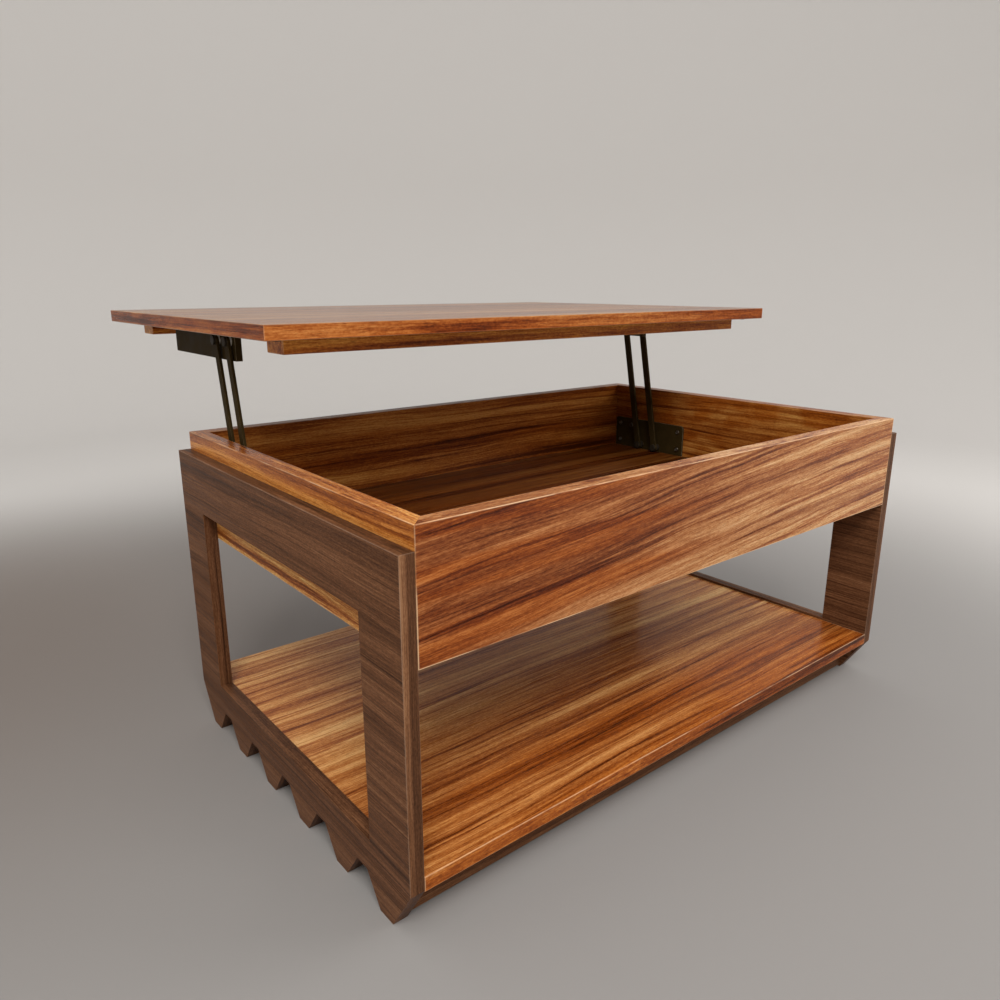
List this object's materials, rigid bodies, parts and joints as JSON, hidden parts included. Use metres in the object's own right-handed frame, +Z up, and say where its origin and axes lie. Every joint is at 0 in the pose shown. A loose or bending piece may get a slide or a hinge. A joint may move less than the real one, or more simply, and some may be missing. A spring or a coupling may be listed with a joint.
{
  "type": "lift top coffee table",
  "caption": "Rectangular wooden coffee table with open side frames on saw-tooth feet, a lower shelf, a storage box and a top that lifts and shifts on parallel steel arms.",
  "frame": {"origin": "on the floor, midway along the length, at the middle of the depth that the base and the raised top cover together", "axes": "+X along the table's length, +Y from the base's front to its back, the way the top moves as it rises, +Z up"},
  "size_m": [0.9, 0.8434, 0.5847],
  "materials": {
    "dark_wood": "satin lacquered dark walnut",
    "striped_wood": "semi-gloss lacquered red-brown striped rosewood",
    "batten_wood": "satin ochre-brown wood",
    "plywood": "satin stained plywood",
    "dowel_wood": "raw beech",
    "bronze_steel": "matt dark bronze powder coat",
    "pin_steel": "blackened steel",
    "nylon": "black nylon",
    "rubber": "soft brown rubber",
    "screw_steel": "bronze-plated steel"
  },
  "bodies": {
    "base": {"side_frame_left": "dark_wood", "side_frame_right": "dark_wood", "plinth_front": "dark_wood", "plinth_back": "dark_wood", "box_front_wall": "striped_wood", "box_back_wall": "striped_wood", "box_left_wall": "striped_wood", "box_right_wall": "striped_wood", "lower_shelf": "striped_wood", "box_floor": "plywood", "mitre_splines": "plywood", "box_dowels": "dowel_wood", "shelf_dowels": "dowel_wood", "plinth_dowels": "dowel_wood", "base_bracket_left": "bronze_steel", "base_bracket_right": "bronze_steel", "base_pivot_pins": "pin_steel", "base_pivot_bushes": "pin_steel", "stop_studs": "pin_steel", "base_bracket_screws": "screw_steel"},
    "raised_top": {"tabletop": "striped_wood", "top_batten_front": "batten_wood", "top_batten_back": "batten_wood", "rim_bumpers": "rubber", "batten_screws": "screw_steel", "top_bracket_screws": "screw_steel", "top_bracket_left": "bronze_steel", "top_bracket_right": "bronze_steel", "top_pivot_pins": "pin_steel", "top_pivot_washers": "nylon"},
    "front_arm_left_body": {"front_arm_left": "bronze_steel"},
    "rear_arm_left_body": {"rear_arm_left": "bronze_steel"},
    "front_arm_right_body": {"front_arm_right": "bronze_steel"},
    "rear_arm_right_body": {"rear_arm_right": "bronze_steel"}
  },
  "joints": [
    {"name": "lift_hinge", "type": "hinge", "parent": "base", "child": "rear_arm_left_body", "pos_m": [0, 0.05234, 0.318], "axis": [1, 0, 0], "range_deg": [0, 76.72]},
    {"name": "front_arm_left_hinge", "type": "hinge", "parent": "base", "child": "front_arm_left_body", "pos_m": [0, 0.01234, 0.318], "axis": [1, 0, 0], "range_deg": [-0.5, 77.22]},
    {"name": "rear_arm_right_hinge", "type": "hinge", "parent": "base", "child": "rear_arm_right_body", "pos_m": [0, 0.05234, 0.318], "axis": [1, 0, 0], "range_deg": [-0.5, 77.22]},
    {"name": "front_arm_right_hinge", "type": "hinge", "parent": "base", "child": "front_arm_right_body", "pos_m": [0, 0.01234, 0.318], "axis": [1, 0, 0], "range_deg": [-0.5, 77.22]},
    {"name": "top_levelling_hinge", "type": "hinge", "parent": "rear_arm_left_body", "child": "raised_top", "pos_m": [0, 0.09772, 0.55367], "axis": [1, 0, 0], "range_deg": [-77.22, 0.5]}
  ],
  "couplings": [
    {"joint": "front_arm_left_hinge", "follows": "lift_hinge", "ratio": 1},
    {"joint": "rear_arm_right_hinge", "follows": "lift_hinge", "ratio": 1},
    {"joint": "front_arm_right_hinge", "follows": "lift_hinge", "ratio": 1},
    {"joint": "top_levelling_hinge", "follows": "lift_hinge", "ratio": -1}
  ]
}
